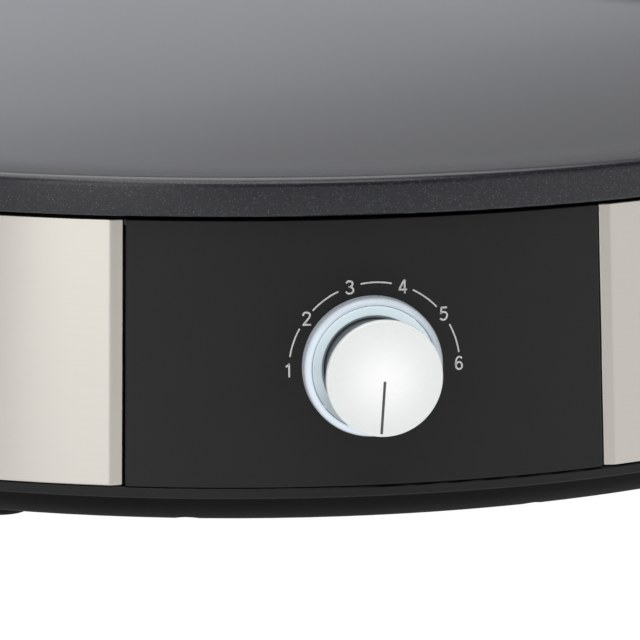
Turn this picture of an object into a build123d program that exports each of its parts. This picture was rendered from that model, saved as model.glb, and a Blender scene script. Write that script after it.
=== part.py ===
from build123d import *
import os
from math import cos, pi, radians, sin, tan

# An electric crepe maker: a cast griddle plate on a low drum. The drum has two brushed bands,
# a black control panel in front, a black panel with the cord gland at the rear and a base pan
# on six rubber feet. Under the plate are the heating element, its thermostat and its wiring.
# Millimetres, +Z up. The drum's axis is the Z axis, the table is z = 0 and the front faces -Y.
# An azimuth is in degrees from the front towards +X.

# Griddle plate
plate_radius = 175.0
plate_top = 82.0
plate_thickness = 6.0
rim_bottom = 73.4
rim_thickness = 4.0
rim_top_round = 2.0
rim_bottom_round = 0.7
underside = plate_top - plate_thickness

# Drum wall: the bands and panels share one slightly flared outer surface
wall_top = 72.1
wall_bottom = 12.25
wall_top_radius = 171.5
wall_bottom_radius = 174.95
wall_gap = 0.45
sheet = 0.7
lip_depth = 3.6
band_bevel = (2.9, 0.78)
band_bevel_blend = 3.0
band_end_round = 0.8
band_edge_round = 0.35
panel_half_angle = 18.28
panel_thickness = 2.5
panel_flange_depth = 5.5
panel_end_round = 0.6
panel_edge_round = 0.3

# Base pan and feet
foot_height = 2.15
foot_radius = 6.8
foot_round = 0.8
foot_circle = 152.8
foot_stem_radius = 2.5
foot_azimuths = [31, 90, 149, 211, 270, 329]
pan_thickness = 2.5
pan_flat_radius = 160.5
pan_lip_height = 2.2
pan_lip_round = 0.45
pan_lip_gap = 0.15
pan_floor = foot_height + pan_thickness
spigot_radius = 170.5
spigot_thickness = 2.0
spigot_top = 18.0

# Upper ring and the posts that carry it
ring_top = 71.3
ring_sheet = 1.2
ring_outer = 170.6
ring_inner = 148.0
ring_wall_height = 11.5
boss_top = 18.2
post_circle = 160.0
post_radius = 4.5
post_azimuths = [40, 140, 220, 320]
panel_post_circle = 163.5
panel_post_radius = 4.2
panel_post_azimuth = 14.0
panel_post_azimuths = [side * panel_post_azimuth + end for end in (0, 180) for side in (-1, 1)]
panel_boss_length = 12.0
plate_boss_circle = 158.0
plate_boss_radius = 7.0
plate_boss_bottom = 73.6
plate_boss_azimuths = [65, 115, 245, 295]

# Screws: shank radius, head radius and head height
small_screw = (1.2, 2.4, 1.5)
large_screw = (2.0, 3.9, 2.4)
hole_clearance = 0.1
small_hole = small_screw[0] + hole_clearance
large_hole = large_screw[0] + hole_clearance
counterbore_depth = 7.5

# Heating element
element_radius = 3.5
groove_clearance = 0.1
outer_loop = 128.0
inner_loop = 80.0
loop_z = 72.8
leg_azimuth = 30.0
hairpin_azimuth = 2.0
leg_bend = 10.0
leg_bottom = 50.0
rail_half_width = 10.5
clip_width = 8.0
clip_sheet = 1.0
clip_screw_offset = 7.2
outer_clip_azimuths = [40, 110, 180, 250, 310]
inner_clip_azimuths = [60, 180, 300]

# Heat reflector under the element
reflector_radius = 145.0
reflector_floor = 60.0
reflector_sheet = 0.6
reflector_rim_top = 66.0
reflector_boss_circle = 104.0
reflector_boss_radius = 5.5
reflector_boss_bottom = 73.0
reflector_azimuths = [30, 150, 270]
wire_hole_place = (-45.0, -5.0)
wire_hole_radius = 9.0

# Control knob and light ring. Along the knob's axis, sizes are distances in front of the drum's axis.
knob_height = 39.05
ring_light_radius = 15.8
ring_light_front = 175.7
ring_seat = 171.6
ring_body_radius = 14.9
ring_split_radius = 14.0
bezel_inner_radius = 11.35
bezel_front = 175.4
light_back = 168.5
panel_boss_back = 167.5
panel_boss_radius = 19.0
knob_face = 187.7
cap_radius = 13.06
cap_thickness = 1.46
cap_round = 0.35
knob_front_radius = 12.75
knob_back_radius = 10.9
knob_back = 172.5
knob_wall = 1.8
hub_radius = 5.6
pointer_width = 0.57
pointer_start = 0.6
pointer_end = 12.4
pointer_depth = 0.5
pointer_angle = 3.6

# Thermostat
shaft_radius = 3.0
shaft_flat = 1.0
shaft_front = 184.2
shaft_back = 150.0
running_clearance = 0.06
bush_radius = 5.0
bush_front = 167.0
bracket_back = 160.0
bracket_sheet = 1.5
bracket_size = (70.0, 32.0)
bracket_screw_offset = 29.0
thermostat_size = (38.0, 32.0, 24.0)
thermostat_front = 158.0
blade_size = (6.3, 0.8, 8.0)
bulb_radius = 3.0
bulb_length = 60.0
bulb_place = (0.0, -50.0, underside - 3.05)
bulb_clip_offsets = (-16.0, 16.0)
bulb_screw_offset = 7.5
capillary_radius = 1.0

# Mains side
limiter_place = (0.0, 32.0)
limiter_radius = 8.0
limiter_height = 8.0
block_size = (40.0, 20.0, 15.0)
block_place = (0.0, 132.0, 9.0)
lead_radius = 1.3
earth_circle = 154.0
earth_azimuth = 160.0
gland_height = 29.5
gland_seat = 175.2
gland_boss_radius = 13.0
gland_thread_radius = 7.9
gland_hex_radius = 11.0
gland_hex_length = 4.0
gland_nut_radius = 9.6
gland_back = 164.0
gland_front = 188.2
cord_bore_radius = 3.9

# Vents in the base pan
vent_count = 24
vent_width = 3.0
vent_inner = 62.0
vent_outer = 104.0

on_base = (Align.CENTER, Align.CENTER, Align.MIN)
knob_axis = Plane(origin=(0, 0, knob_height), x_dir=(1, 0, 0), z_dir=(0, -1, 0))
gland_axis = Plane(origin=(0, 0, gland_height), x_dir=(-1, 0, 0), z_dir=(0, 1, 0))


def wall_radius(z):
    """Radius of the drum's flared outer surface at a height."""
    share = (z - wall_bottom) / (wall_top - wall_bottom)
    return wall_bottom_radius + share * (wall_top_radius - wall_bottom_radius)


def polar(radius, azimuth, z=0.0):
    """Point at a radius and an azimuth."""
    turn = radians(azimuth)
    return Vector(radius * sin(turn), -radius * cos(turn), z)


def copies(piece, azimuths):
    """Copies of a piece made at the front, one at each azimuth."""
    return [Rot(0, 0, azimuth) * piece for azimuth in azimuths]


def rod(radius, low, high, place=(0, 0)):
    """Upright cylinder between two heights."""
    spot = Vector(place)
    return Pos(spot.X, spot.Y, low) * Cylinder(radius, high - low, align=on_base)


def tube(outer, inner, low, high, place=(0, 0)):
    """Upright tube between two heights."""
    return rod(outer, low, high, place) - rod(inner, low - 1, high + 1, place)


def block(size, low, place=(0, 0)):
    """Upright box with its base at a height."""
    spot = Vector(place)
    return Pos(spot.X, spot.Y, low) * Box(*size, align=on_base)


def turned(*edges):
    """Solid of revolution about Z from the edges of a closed (radius, height) outline."""
    return revolve(Plane.XZ * make_face(Curve() + list(edges)), Axis.Z)


def turned_polygon(*points):
    """Solid of revolution about Z from the corners of a (radius, height) outline."""
    return turned(Polyline(*points, close=True))


def circles(solid, radius, height):
    """The circular edges of a radius about Z at a height."""
    found = [edge for edge in solid.edges().filter_by(GeomType.CIRCLE) if abs(edge.radius - radius) < 0.01]
    return [edge for edge in found if abs(edge.arc_center.Z - height) < 0.01]


def screw(kind, length):
    """Pan-head screw that points up from the surface at z = 0, with a cross recess in its head."""
    shank_radius, head_radius, head_height = kind
    head = rod(head_radius, -head_height, 0)
    head = fillet(circles(head, head_radius, -head_height), head_height * 0.5)
    shank = rod(shank_radius, 0, length)
    shank = chamfer(circles(shank, shank_radius, length), shank_radius * 0.4)
    bar = (head_radius * 1.1, head_radius * 0.25, head_height * 0.5)
    recess = block(bar, -head_height) + Rot(0, 0, 90) * block(bar, -head_height)
    return head + shank - recess


def bent_wire(points, radius):
    """Round wire through straight runs joined by arcs as large as the runs allow."""
    stops = [Vector(*point) for point in points]
    bends = []
    for before, corner, after in zip(stops, stops[1:], stops[2:]):
        turn = (corner - before).get_angle(after - corner)
        bends.append(0.45 * min((corner - before).length, (after - corner).length) / tan(radians(turn) / 2))
    path = FilletPolyline(*stops, radius=bends)
    return sweep(Plane(origin=path @ 0, z_dir=path % 0) * Circle(radius), path=path)


def write(name, pieces):
    """Write a node's solids to its STEP file."""
    solids = [solid for piece in pieces for solid in piece.solids()]
    export_step(solids[0] if len(solids) == 1 else Compound(children=solids), f"parts/{name}.step")


def axis_distance(point):
    """Distance of a point from the drum's axis."""
    return Vector(point.X, point.Y).length


def depth_below_wall(edge):
    """How far an edge's middle lies inside the drum's outer surface."""
    return wall_radius((edge @ 0.5).Z) - axis_distance(edge @ 0.5)


def uprights(solid, depth, reach):
    """Edges that run up the wall within reach of a depth below its surface."""
    found = [edge for edge in solid.edges() if abs(edge.tangent_at(0.5).Z) > 0.9]
    return ShapeList(edge for edge in found if abs(depth_below_wall(edge) - depth) < reach)


def runs_level(edge):
    """Whether an edge stays at one height."""
    return abs((edge @ 0).Z - (edge @ 1).Z) < 0.01 and abs((edge @ 0).Z - (edge @ 0.5).Z) < 0.01


def wall_sector(half_angle, inset, depth, low, high, end_round, edge_round, bevel=None):
    """Sector of the drum's wall about the front, inset from its surface, with rounded outer edges.

    A bevel is the length and the drop of a shallow slope at both ends, eased into the surface.
    """
    outline = Polyline(
        (wall_radius(low) - depth, low),
        (wall_radius(low) - inset, low),
        (wall_radius(high) - inset, high),
        (wall_radius(high) - depth, high),
        close=True,
    )
    sector = revolve(Plane.XZ * make_face(outline), Axis.Z, revolution_arc=2 * half_angle)
    if bevel:
        length, drop = bevel
        for end in (0, -1):
            skin = max(sector.faces(), key=lambda face: axis_distance(face.position_at(0.5, 0.5)))
            corner = uprights(sector, inset, drop / 2).sort_by(Axis.Y)[end]
            sector = chamfer(corner, length, drop, reference=skin)
        sector = fillet(uprights(sector, inset, drop / 2), band_bevel_blend)
        sector = fillet(uprights(sector, inset + drop / 2, drop), end_round)
    else:
        sector = fillet(uprights(sector, inset, 0.1), end_round)
    middle = (inset + depth) / 2
    rims = [edge for edge in sector.edges() if runs_level(edge) and depth_below_wall(edge) < middle]
    sector = fillet(rims, edge_round)
    return Rot(0, 0, -90 - half_angle) * sector


def wall_shell(half_angle, thickness, depth, end_round, edge_round, bevel=None):
    """Open-backed shell of the drum's wall about the front, with returns at all four edges."""
    skin = wall_sector(half_angle, 0, depth, wall_bottom, wall_top, end_round, edge_round, bevel)
    inner_angle = half_angle - thickness / wall_bottom_radius * 180 / pi
    low, high = wall_bottom + thickness, wall_top - thickness
    hollow = wall_sector(inner_angle, thickness, depth + 5, low, high, 0.3, 0.2, bevel)
    return skin - hollow


def element_path():
    """Centre line of the heating element: leg, outer loop, hairpin, inner loop, leg."""
    sweep_angle = 360 + hairpin_azimuth - leg_azimuth
    hairpin_radius = (outer_loop - inner_loop) / 2
    hairpin_centre = polar(outer_loop - hairpin_radius, hairpin_azimuth)
    up = Vector(0, 0, 1)
    along = polar(1, leg_azimuth + 90)
    legs = []
    for loop in (outer_loop, inner_loop):
        bend_end = polar(loop, leg_azimuth, loop_z)
        bend_centre = bend_end - up * leg_bend
        bend_middle = bend_centre + (up - along) * (leg_bend * sin(pi / 4))
        bend_start = bend_centre - along * leg_bend
        foot = Vector(bend_start.X, bend_start.Y, leg_bottom)
        legs.append(Line(foot, bend_start) + ThreePointArc(bend_start, bend_middle, bend_end))
    loop_level = Pos(0, 0, loop_z)
    outer = loop_level * CenterArc((0, 0), outer_loop, leg_azimuth - 90, sweep_angle)
    hairpin = loop_level * CenterArc(hairpin_centre, hairpin_radius, hairpin_azimuth - 90, 180)
    inner = loop_level * CenterArc((0, 0), inner_loop, hairpin_azimuth - 90, -sweep_angle)
    edges = legs[0].edges() + outer.edges() + hairpin.edges() + inner.edges() + legs[1].edges()
    return Wire(edges)


def element_tube(radius):
    """Round bar along the element's centre line."""
    path = element_path()
    return sweep(Plane(origin=path @ 0, z_dir=path % 0) * Circle(radius), path=path)


def leg_feet():
    """Lower ends of the element's two legs."""
    path = element_path()
    return [path @ 0, path @ 1]


def clip_places():
    """Loop radius and azimuth of every element clip."""
    return [(outer_loop, azimuth) for azimuth in outer_clip_azimuths] + [
        (inner_loop, azimuth) for azimuth in inner_clip_azimuths
    ]


def clip_screw_places():
    """Radius and azimuth of every element clip's two screws."""
    return [(loop + side * clip_screw_offset, azimuth) for loop, azimuth in clip_places() for side in (-1, 1)]


def griddle_plate():
    """Cast plate with a turned-down rim, element rails and screw bosses underneath."""
    inner_rim = plate_radius - rim_thickness
    plate = turned_polygon(
        (0, plate_top),
        (plate_radius, plate_top),
        (plate_radius, rim_bottom),
        (inner_rim, rim_bottom),
        (inner_rim, underside),
        (0, underside),
    )
    plate = fillet(circles(plate, plate_radius, plate_top), rim_top_round)
    plate = fillet(circles(plate, plate_radius, rim_bottom), rim_bottom_round)
    for loop in (outer_loop, inner_loop):
        plate += tube(loop + rail_half_width, loop - rail_half_width, loop_z, underside + 1)
    plate_boss = rod(plate_boss_radius, plate_boss_bottom, underside + 1, (0, -plate_boss_circle))
    dish_boss = rod(reflector_boss_radius, reflector_boss_bottom, underside + 1, (0, -reflector_boss_circle))
    for boss in copies(plate_boss, plate_boss_azimuths) + copies(dish_boss, reflector_azimuths):
        plate += boss
    plate -= element_tube(element_radius + groove_clearance)
    holes = [rod(small_hole, loop_z - 1, loop_z + 6, polar(*place)) for place in clip_screw_places()]
    plate_hole = rod(large_hole, plate_boss_bottom - 1, plate_boss_bottom + 6, (0, -plate_boss_circle))
    holes += copies(plate_hole, plate_boss_azimuths)
    holes += copies(rod(small_hole, loop_z - 1, loop_z + 6, (0, -reflector_boss_circle)), reflector_azimuths)
    holes += [rod(small_hole, underside - 1, underside + 4.5, place) for place in bulb_clip_screw_places()]
    holes += [rod(small_hole, underside - 1, underside + 4.5, place) for place in limiter_screw_places()]
    return plate - holes


def element_clips():
    """Pressed straps that hold the element in its rails."""
    strap = Circle(element_radius + groove_clearance + clip_sheet) - Circle(element_radius + groove_clearance)
    strap &= Pos(0, -element_radius) * Rectangle(4 * element_radius, 2 * element_radius)
    foot_start = element_radius + groove_clearance + clip_sheet / 2
    foot_length = rail_half_width - 0.5 - foot_start
    foot_middle = foot_start + foot_length / 2
    for side in (-1, 1):
        strap += Pos(side * foot_middle, -clip_sheet / 2) * Rectangle(foot_length, clip_sheet)
    section = Plane(origin=(clip_width / 2, 0, loop_z), x_dir=(0, 1, 0), z_dir=(1, 0, 0))
    blank = extrude(section * strap, amount=-clip_width)
    for side in (-1, 1):
        blank -= rod(small_hole, loop_z - 5, loop_z + 5, (0, side * clip_screw_offset))
    return [Rot(0, 0, azimuth) * Pos(0, -loop, 0) * blank for loop, azimuth in clip_places()]


def element_clip_screws():
    """Screws of the element clips, two to each."""
    level = loop_z - clip_sheet
    return [Pos(polar(*place, level)) * screw(small_screw, 5.5) for place in clip_screw_places()]


def element_insulators():
    """Ceramic beads at the element's cold ends."""
    bead = Cone(3.2, 4.4, 6, align=on_base) - Cylinder(1.3, 6, align=on_base)
    return [Pos(foot.X, foot.Y, leg_bottom - 6) * bead for foot in leg_feet()]


def element_terminals():
    """Terminal pins below the beads, each flattened to a blade."""
    pins = []
    for foot in leg_feet():
        pin = rod(1.2, leg_bottom - 9, leg_bottom - 0.05, (foot.X, foot.Y))
        pins.append(pin + block(blade_size, leg_bottom - 16, (foot.X, foot.Y)))
    return pins


def heat_reflector():
    """Pressed dish that throws the element's heat back up."""
    inner = reflector_radius - reflector_sheet
    step = reflector_floor + reflector_sheet
    dish = turned_polygon(
        (0, reflector_floor),
        (reflector_radius - 8, reflector_floor),
        (reflector_radius, reflector_rim_top),
        (reflector_radius, reflector_rim_top + reflector_sheet),
        (inner, reflector_rim_top + reflector_sheet),
        (reflector_radius - 8.3, step),
        (0, step),
    )
    low, high = reflector_floor - 1, step + 1
    holes = copies(rod(small_hole, low, high, (0, -reflector_boss_circle)), reflector_azimuths)
    holes += [rod(element_radius + 2.5, low, high, (foot.X, foot.Y)) for foot in leg_feet()]
    holes.append(rod(wire_hole_radius, low, high, wire_hole_place))
    return dish - holes


def reflector_spacers():
    """Tubes that hold the reflector below the plate."""
    spacer = tube(3.6, small_hole, reflector_floor + reflector_sheet, reflector_boss_bottom)
    return copies(Pos(0, -reflector_boss_circle, 0) * spacer, reflector_azimuths)


def reflector_screws():
    """Long screws through the reflector and its spacers."""
    place = Pos(0, -reflector_boss_circle, reflector_floor)
    long_screw = screw(small_screw, reflector_boss_bottom - reflector_floor + 5)
    return copies(place * long_screw, reflector_azimuths)


def upper_ring():
    """Folded steel ring that carries the plate and clamps the tops of the bands and panels."""
    flange_bottom = ring_top - ring_sheet
    ring = turned_polygon(
        (ring_inner, flange_bottom - 3),
        (ring_inner + ring_sheet, flange_bottom - 3),
        (ring_inner + ring_sheet, flange_bottom),
        (ring_outer - ring_sheet, flange_bottom),
        (ring_outer - ring_sheet, ring_top - ring_wall_height),
        (ring_outer, ring_top - ring_wall_height),
        (ring_outer, ring_top),
        (ring_inner, ring_top),
    )
    low, high = flange_bottom - 1, ring_top + 1
    wall_low = ring_top - ring_wall_height - 1
    notch = wall_sector(panel_half_angle + 1, -5, 12, wall_low, flange_bottom, 0.5, 0.2)
    band_end = panel_half_angle + 1.3 * wall_gap / wall_top_radius * 180 / pi
    slot = block((2.4, 8, high - wall_low), wall_low, (0, -wall_top_radius))
    for azimuth in (0, 180):
        ring -= Rot(0, 0, azimuth) * notch
        for piece in copies(slot, (azimuth - band_end, azimuth + band_end)):
            ring -= piece
    holes = copies(rod(large_hole, low, high, (0, -plate_boss_circle)), plate_boss_azimuths)
    holes += copies(rod(large_hole, low, high, (0, -post_circle)), post_azimuths)
    holes += copies(rod(small_hole, low, high, (0, -panel_post_circle)), panel_post_azimuths)
    return ring - holes


def plate_washers():
    """Heat-resisting washers between the ring and the plate's bosses."""
    washer = tube(6.5, large_hole, ring_top, plate_boss_bottom)
    return copies(Pos(0, -plate_boss_circle, 0) * washer, plate_boss_azimuths)


def plate_screws():
    """Screws that hold the plate down on the ring."""
    place = Pos(0, -plate_boss_circle, ring_top - ring_sheet)
    return copies(place * screw(large_screw, 8.5), plate_boss_azimuths)


def support_posts():
    """Steel posts between the base pan's bosses and the ring."""
    post = rod(post_radius, boss_top, ring_top - ring_sheet)
    low_hole = rod(large_hole, boss_top - 1, boss_top + 10)
    high_hole = rod(large_hole, ring_top - 11, ring_top)
    post = post - low_hole - high_hole
    return copies(Pos(0, -post_circle, 0) * post, post_azimuths)


def lower_post_screws():
    """Screws that hold the posts from under the base pan."""
    head_level = foot_height + counterbore_depth
    length = boss_top - head_level + 8
    return copies(Pos(0, -post_circle, head_level) * screw(large_screw, length), post_azimuths)


def upper_post_screws():
    """Screws that hold the ring on the posts."""
    flipped = Pos(0, -post_circle, ring_top) * Rot(180, 0, 0) * screw(large_screw, 9)
    return copies(flipped, post_azimuths)


def panel_screws():
    """Screws that hold the front and rear panels, from below and through the ring."""
    head_level = foot_height + counterbore_depth
    lower = Pos(0, -panel_post_circle, head_level) * screw(small_screw, boss_top - head_level + 8)
    upper = Pos(0, -panel_post_circle, ring_top) * Rot(180, 0, 0) * screw(small_screw, 9)
    return copies(lower, panel_post_azimuths) + copies(upper, panel_post_azimuths)


def side_band():
    """Thin brushed band about the front, sloped at its ends and folded inwards at all four edges."""
    gap_angle = wall_gap / wall_bottom_radius * 180 / pi
    half_angle = 90 - panel_half_angle - gap_angle
    return wall_shell(half_angle, sheet, lip_depth, band_end_round, band_edge_round, band_bevel)


def plain_panel():
    """Moulded panel about the front, with a screw boss in each corner."""
    panel = wall_shell(
        panel_half_angle, panel_thickness, panel_flange_depth, panel_end_round, panel_edge_round
    )
    flange_bottom = ring_top - ring_sheet
    for low in (boss_top, flange_bottom - panel_boss_length):
        high = low + panel_boss_length
        rib_depth = wall_radius(high) - 1 - panel_post_circle
        boss = rod(panel_post_radius, low, high, (0, -panel_post_circle))
        boss += block((2.0, rib_depth, panel_boss_length), low, (0, -panel_post_circle - rib_depth / 2))
        for piece in copies(boss, (-panel_post_azimuth, panel_post_azimuth)):
            panel += piece
    clear_of_ring = tube(ring_outer + 0.1, ring_inner - 2, flange_bottom, ring_top + 0.05)
    clear_of_spigot = tube(spigot_radius + 0.1, 150, wall_bottom - 1, boss_top)
    holes = [
        rod(small_hole, low, low + 11, polar(panel_post_circle, azimuth))
        for low in (boss_top - 1, flange_bottom - 10)
        for azimuth in (-panel_post_azimuth, panel_post_azimuth)
    ]
    return panel - clear_of_ring - clear_of_spigot - holes


def front_panel():
    """Control panel with the light ring's seat and the thermostat bracket's bosses."""
    panel = plain_panel()
    panel += knob_axis * rod(panel_boss_radius, panel_boss_back, ring_seat)
    for side in (-1, 1):
        place = (side * bracket_screw_offset, 0)
        panel += knob_axis * rod(4.0, bracket_back + bracket_sheet, wall_radius(knob_height) - 4, place)
        panel -= knob_axis * rod(small_hole, bracket_back, bracket_back + 9, place)
    panel -= knob_axis * rod(ring_light_radius + 0.1, ring_seat, knob_face)
    panel -= knob_axis * rod(ring_body_radius + 0.1, panel_boss_back - 1, knob_face)
    for place in board_screw_places():
        panel -= knob_axis * rod(0.9, panel_boss_back - 1, panel_boss_back + 3.2, place)
    return panel


def rear_panel():
    """Rear panel with a flat seat for the cord gland and a row of vents."""
    panel = Rot(0, 0, 180) * plain_panel()
    inner_face = wall_radius(gland_height) - panel_thickness
    panel += gland_axis * rod(gland_boss_radius, inner_face - 0.3, gland_seat)
    panel -= gland_axis * rod(gland_thread_radius + 0.1, 160, 190)
    slot = Pos(0, wall_top_radius, 0) * Box(2.4, 20, 14)
    for step in range(-6, 7):
        panel -= Pos(0, 0, 52) * Rot(0, 0, step * 2.1) * slot
    return panel


def base_pan():
    """Moulded pan with a spigot inside the drum's wall, screw bosses, foot holes and floor vents."""
    lip_radius = wall_bottom_radius - pan_lip_gap
    lip_top = wall_bottom - pan_lip_gap
    lip_bottom = lip_top - pan_lip_height
    inner_wall = spigot_radius - spigot_thickness
    outer_curve = ThreePointArc((pan_flat_radius, foot_height), (170.0, 5.4), (lip_radius, lip_bottom))
    inner_curve = ThreePointArc((inner_wall, 11.0), (165.6, 7.0), (pan_flat_radius - 2.5, pan_floor))
    pan = turned(
        Line((0, foot_height), (pan_flat_radius, foot_height)),
        outer_curve,
        Polyline(
            (lip_radius, lip_bottom),
            (lip_radius, lip_top),
            (spigot_radius, lip_top),
            (spigot_radius, spigot_top),
            (inner_wall, spigot_top),
            (inner_wall, 11.0),
        ),
        inner_curve,
        Polyline((pan_flat_radius - 2.5, pan_floor), (0, pan_floor), (0, foot_height)),
    )
    pan = fillet(circles(pan, lip_radius, lip_top), pan_lip_round)
    rib = block((1.6, vent_inner + 30, 4.0), pan_floor - 1, (0, -vent_inner - 30))
    for piece in copies(rib, range(0, 360, 30)):
        pan += piece
    pan += tube(58, 56, pan_floor - 1, pan_floor + 4)
    pan += tube(110, 108, pan_floor - 1, pan_floor + 4)
    envelope = turned(
        Line((0, foot_height), (pan_flat_radius, foot_height)),
        outer_curve,
        Polyline((lip_radius, lip_bottom), (lip_radius, boss_top), (0, boss_top), (0, foot_height)),
    )
    post_boss = envelope & rod(post_radius + 2, foot_height, boss_top, (0, -post_circle))
    panel_boss = envelope & rod(panel_post_radius, foot_height, boss_top, (0, -panel_post_circle))
    for piece in copies(post_boss, post_azimuths) + copies(panel_boss, panel_post_azimuths):
        pan += piece
    for place in block_mount_places():
        pan += rod(4.0, foot_height, block_place[2], place)
    holes = []
    for kind, circle, azimuths in (
        (large_screw, post_circle, post_azimuths),
        (small_screw, panel_post_circle, panel_post_azimuths),
    ):
        head_room = rod(kind[1] + 0.4, foot_height - 1, foot_height + counterbore_depth, (0, -circle))
        shank_room = rod(kind[0] + hole_clearance, foot_height, boss_top + 1, (0, -circle))
        holes += copies(head_room, azimuths) + copies(shank_room, azimuths)
    stem_hole = rod(foot_stem_radius + 0.1, foot_height - 1, pan_floor + 1, (0, -foot_circle))
    holes += copies(stem_hole, foot_azimuths)
    block_top = block_place[2] + 1
    holes += [rod(small_hole, pan_floor, block_top, place) for place in block_mount_places()]
    vent_length = vent_outer - vent_inner
    vent = block((vent_width, vent_length, 12), foot_height - 1, (0, -vent_inner - vent_length / 2))
    vent = fillet(vent.edges().filter_by(Axis.Z), vent_width * 0.49)
    vent_step = 360 / vent_count
    holes += copies(vent, [(index + 0.5) * vent_step for index in range(vent_count)])
    return pan - holes


def rubber_feet():
    """Round feet with a barbed stem through the pan's floor."""
    pad = rod(foot_radius, 0, foot_height)
    pad = fillet(circles(pad, foot_radius, 0), foot_round)
    stem = rod(foot_stem_radius, foot_height, pan_floor + 0.3)
    barb = Pos(0, 0, pan_floor + 0.3) * Cone(3.4, 1.8, 3.0, align=on_base)
    return copies(Pos(0, -foot_circle, 0) * (pad + stem + barb), foot_azimuths)


def light_ring():
    """Translucent ring with a domed front, lit from behind."""
    inner = ring_split_radius + 0.05
    shoulder = 174.2
    dome = ThreePointArc((ring_light_radius, shoulder), (15.35, 175.25), (14.6, ring_light_front))
    ease = ThreePointArc((14.6, ring_light_front), (14.4, 175.67), (inner + 0.12, 175.52))
    back = Polyline(
        (inner + 0.12, 175.52),
        (inner, bezel_front),
        (inner, light_back),
        (ring_body_radius, light_back),
        (ring_body_radius, ring_seat + 0.05),
        (ring_light_radius, ring_seat + 0.05),
        (ring_light_radius, shoulder),
    )
    return knob_axis * turned(dome, ease, back)


def ring_bezel():
    """Inner ring beside the knob, closed behind it by a floor with the shaft's hole."""
    outer = ring_split_radius - 0.05
    return knob_axis * turned_polygon(
        (outer, bezel_front),
        (outer - 0.12, bezel_front + 0.12),
        (bezel_inner_radius + 0.5, bezel_front - 0.2),
        (bezel_inner_radius, bezel_front - 0.7),
        (bezel_inner_radius, 170.0),
        (4.0, 170.0),
        (4.0, light_back),
        (outer, light_back),
    )


def board_screw_places():
    """Places of the lamp board's screws about the knob's axis."""
    return [(17.0 * cos(radians(turn)), 17.0 * sin(radians(turn))) for turn in (60, 180, 300)]


def led_board():
    """Round circuit board behind the light ring."""
    board = tube(panel_boss_radius, 7.2, panel_boss_back - 1.6, panel_boss_back)
    for place in board_screw_places():
        board -= rod(1.1, panel_boss_back - 3, panel_boss_back + 1, place)
    return knob_axis * board


def leds():
    """Lamps on the board, in a circle behind the light ring."""
    lamp = block((2.8, 1.6, 0.8), panel_boss_back, (0, 14.0))
    return [knob_axis * Rot(0, 0, turn) * lamp for turn in range(0, 360, 45)]


def board_screws():
    """Screws of the lamp board."""
    tiny_screw = (0.8, 1.6, 1.0)
    return [
        knob_axis * Pos(place[0], place[1], panel_boss_back - 1.6) * screw(tiny_screw, 4.5)
        for place in board_screw_places()
    ]


def flatted_rod(radius, low, high):
    """Rod with a flat along one side."""
    beyond_flat = block((4 * radius, 2 * radius, high - low), low, (0, 2 * radius - shaft_flat))
    return rod(radius, low, high) - beyond_flat


def knob_body():
    """Hollow tapered grip with a hub that fits the shaft's flat."""
    front = knob_face - cap_thickness
    grip = turned_polygon(
        (hub_radius, knob_back + 1.5),
        (knob_back_radius - knob_wall, knob_back + 1.5),
        (knob_back_radius - knob_wall, knob_back),
        (knob_back_radius, knob_back),
        (knob_back_radius + 0.1, bezel_front),
        (knob_front_radius, front - 0.4),
        (knob_front_radius, front),
        (knob_front_radius - knob_wall, front),
        (knob_front_radius - knob_wall, front - 4.0),
        (hub_radius, front - 4.0),
    )
    cavity = tube(knob_back_radius - knob_wall, hub_radius, knob_back + 3.5, front - 6)
    hub = rod(hub_radius, knob_back + 1.5, front - 1.2)
    return knob_axis * (grip + hub - cavity - flatted_rod(shaft_radius + 0.05, knob_back, shaft_front + 0.2))


def pointer_bar(width, low, high):
    """Bar along the pointer's line between two levels of the knob's axis."""
    length = pointer_end - pointer_start
    bar = block((width, length, high - low), low, (0, -pointer_start - length / 2))
    return knob_axis * Rot(0, 0, -pointer_angle) * bar


def knob_cap():
    """Face of the knob with the pointer's groove and a ring that plugs into the grip."""
    disc = rod(cap_radius, knob_face - cap_thickness, knob_face)
    disc = fillet(circles(disc, cap_radius, knob_face), cap_round)
    cap_back = knob_face - cap_thickness
    plug = tube(knob_front_radius - knob_wall - 0.1, 9.0, cap_back - 3.5, cap_back + 0.5)
    groove = pointer_bar(pointer_width + 0.04, knob_face - pointer_depth, knob_face + 1)
    return knob_axis * (disc + plug) - groove


def knob_pointer():
    """Dark pointer inlaid in the knob's face."""
    return pointer_bar(pointer_width, knob_face - pointer_depth, knob_face - 0.03)


def knob_clip():
    """Split spring ring that grips the hub on the shaft."""
    clip = tube(hub_radius + 0.7, hub_radius + 0.05, knob_back + 3.8, knob_back + 7.6)
    return knob_axis * (clip - block((2.0, 20, 10), knob_back, (0, -10)))


def thermostat_shaft():
    """Control shaft with a flat where the knob sits."""
    flat_start = knob_back + 1.2
    round_part = rod(shaft_radius, shaft_back, flat_start)
    return knob_axis * (round_part + flatted_rod(shaft_radius, flat_start, shaft_front))


def thermostat_bush():
    """Threaded bush that guides the shaft and clamps the thermostat to its bracket."""
    bush = tube(bush_radius, shaft_radius + running_clearance, thermostat_front + 0.05, bush_front)
    flange = tube(9.0, shaft_radius + running_clearance, thermostat_front + 0.05, bracket_back)
    return knob_axis * (bush + flange)


def bush_nut():
    """Hexagon nut on the bush."""
    nut = extrude(RegularPolygon(8.0, 6) - Circle(bush_radius + 0.05), amount=3.0)
    return knob_axis * Pos(0, 0, bracket_back + bracket_sheet) * nut


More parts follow.
